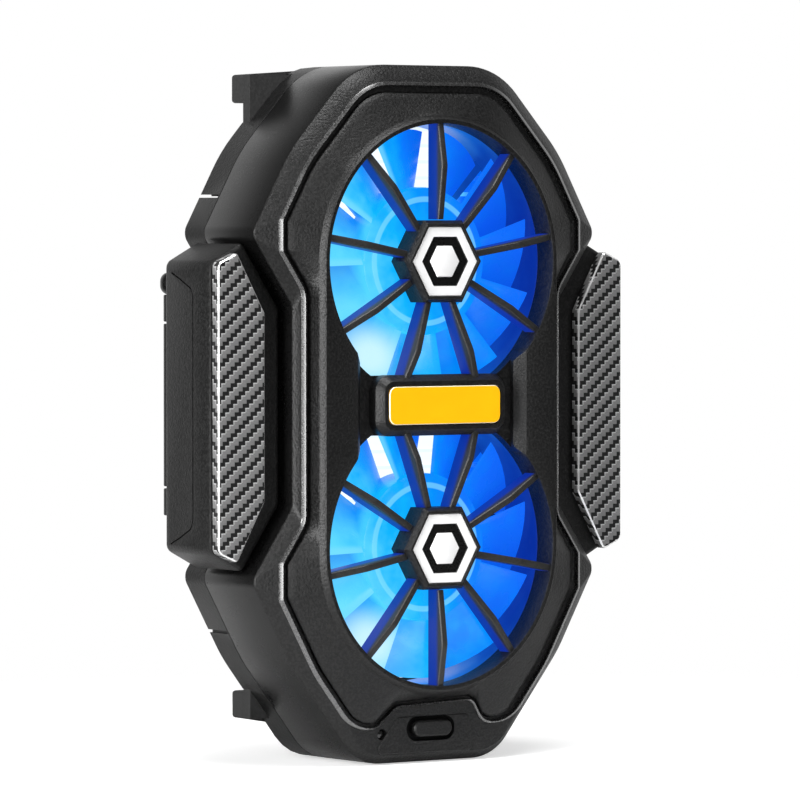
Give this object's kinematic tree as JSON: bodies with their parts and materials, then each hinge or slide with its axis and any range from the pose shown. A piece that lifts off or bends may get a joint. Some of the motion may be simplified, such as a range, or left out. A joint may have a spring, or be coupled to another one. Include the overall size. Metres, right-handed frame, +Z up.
{
  "type": "phone cooling fan",
  "caption": "Clip-on phone cooler with stacked fans behind a spoked grille, a cold plate at the back, sliding side arms and folding claws.",
  "frame": {"origin": "centre of the box round the part, at the height of its flat bottom edge", "axes": "+Z up along the row of fans, +Y back towards the phone, +X to the right seen from the front"},
  "size_m": [0.0738, 0.0264, 0.1032],
  "materials": {
    "shell_black": "fine-textured black ABS",
    "satin_black": "satin black ABS",
    "carbon_trim": "twill-patterned film under a clear coat",
    "badge_yellow": "satin yellow",
    "emblem_white": "printed white on black",
    "fan_blue": "translucent blue, lit from inside",
    "duct_blue": "translucent blue, lit from inside",
    "rubber_black": "soft black silicone",
    "aluminium": "anodised",
    "steel": "plated",
    "bronze": "sintered bronze",
    "copper": "enamelled copper wire",
    "ceramic_white": "alumina ceramic",
    "board_green": "solder-masked board",
    "lamp_white": "clear lamp",
    "gear_ivory": "acetal"
  },
  "bodies": {
    "chassis": {"front_bezel": "shell_black", "front_grille": "shell_black", "upper_hub_cap": "emblem_white", "lower_hub_cap": "emblem_white", "badge_frame": "satin_black", "badge_plate": "badge_yellow", "light_lens": "lamp_white", "mid_shell": "satin_black", "rear_cover": "shell_black", "rear_plate": "satin_black", "top_pad": "rubber_black", "bottom_pad": "rubber_black", "rear_screws": "steel", "heat_sink": "aluminium", "cold_plate": "aluminium", "circuit_board": "board_green", "tact_switch": "satin_black", "usb_socket": "steel", "left_led_board": "lamp_white", "right_led_board": "lamp_white", "pinion_pin": "steel", "upper_fan_frame": "duct_blue", "upper_bearing": "bronze", "upper_stator": "copper", "upper_peltier": "ceramic_white", "upper_spring": "steel", "lower_fan_frame": "duct_blue", "lower_bearing": "bronze", "lower_stator": "copper", "lower_peltier": "ceramic_white", "lower_spring": "steel"},
    "button": {"button": "satin_black"},
    "pinion": {"pinion": "gear_ivory"},
    "upper_rotor": {"upper_impeller": "fan_blue", "upper_shaft": "steel"},
    "lower_rotor": {"lower_impeller": "fan_blue", "lower_shaft": "steel"},
    "left_arm": {"left_arm": "satin_black", "left_trim": "carbon_trim", "left_claw_pin": "steel"},
    "left_claw": {"left_claw": "satin_black", "left_claw_pad": "rubber_black"},
    "right_arm": {"right_arm": "satin_black", "right_trim": "carbon_trim", "right_claw_pin": "steel"},
    "right_claw": {"right_claw": "satin_black", "right_claw_pad": "rubber_black"}
  },
  "joints": [
    {"name": "upper_fan_spin", "type": "hinge", "parent": "chassis", "child": "upper_rotor", "pos_m": [0, 0, 0.0742], "axis": [0, 1, 0], "continuous": true},
    {"name": "lower_fan_spin", "type": "hinge", "parent": "chassis", "child": "lower_rotor", "pos_m": [0, 0, 0.0318], "axis": [0, 1, 0], "continuous": true},
    {"name": "left_arm_slide", "type": "slide", "parent": "chassis", "child": "left_arm", "axis": [-1, 0, 0], "range_m": [0, 0.011], "stiffness_N_per_m": 60, "springref_m": -0.02, "deforming": ["upper_spring", "lower_spring"]},
    {"name": "right_arm_slide", "type": "slide", "parent": "chassis", "child": "right_arm", "axis": [1, 0, 0], "range_m": [0, 0.011]},
    {"name": "pinion_turn", "type": "hinge", "parent": "chassis", "child": "pinion", "pos_m": [0, 0, 0.053], "axis": [0, 1, 0], "range_deg": [-211, 0]},
    {"name": "left_claw_fold", "type": "hinge", "parent": "left_arm", "child": "left_claw", "pos_m": [-0.0326, 0.0104, 0.053], "axis": [0, 0, 1], "range_deg": [0, 90]},
    {"name": "right_claw_fold", "type": "hinge", "parent": "right_arm", "child": "right_claw", "pos_m": [0.0326, 0.0104, 0.053], "axis": [0, 0, -1], "range_deg": [0, 90]},
    {"name": "button_press", "type": "slide", "parent": "chassis", "child": "button", "axis": [0, 1, 0], "range_m": [0, 0.0005], "stiffness_N_per_m": 300, "springref_m": -0.0005}
  ],
  "couplings": [
    {"joint": "right_arm_slide", "follows": "left_arm_slide", "ratio": 1},
    {"joint": "pinion_turn", "follows": "left_arm_slide", "rad_per_m": -333.33}
  ]
}
